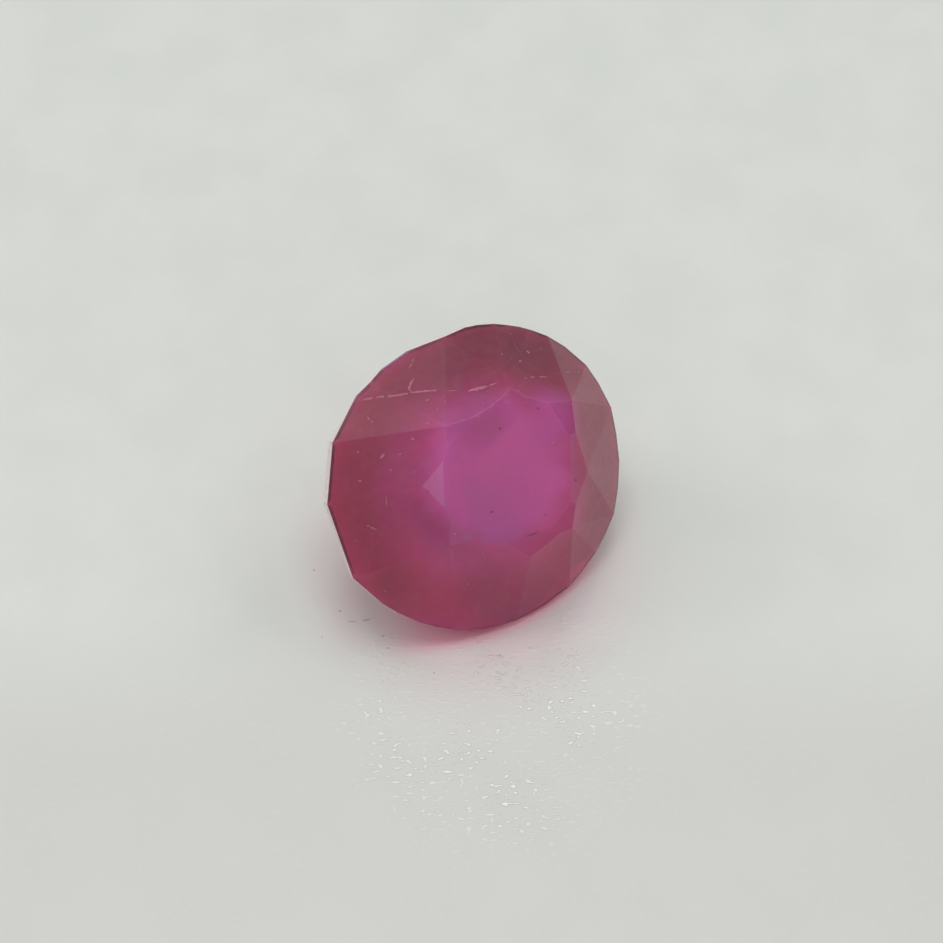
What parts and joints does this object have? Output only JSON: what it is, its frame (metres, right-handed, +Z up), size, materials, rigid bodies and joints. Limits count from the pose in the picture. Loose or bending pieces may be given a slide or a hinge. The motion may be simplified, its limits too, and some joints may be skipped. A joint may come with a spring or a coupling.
{
  "type": "ruby",
  "caption": "Loose round brilliant-cut ruby with an octagonal table, uneven hand-cut crown facets and a pointed pavilion, lying on one pavilion facet.",
  "frame": {"origin": "middle of the stone's footprint box, on the surface that it lies on", "axes": "+Z up from the surface, -Y towards the camera, +X to the camera's right and along the stone's widest reach"},
  "size_m": [0.0082, 0.0072, 0.0057],
  "materials": {
    "ruby": "polished, see-through, cloudy purplish red"
  },
  "bodies": {
    "root": {"ruby": "ruby"}
  },
  "joints": []
}
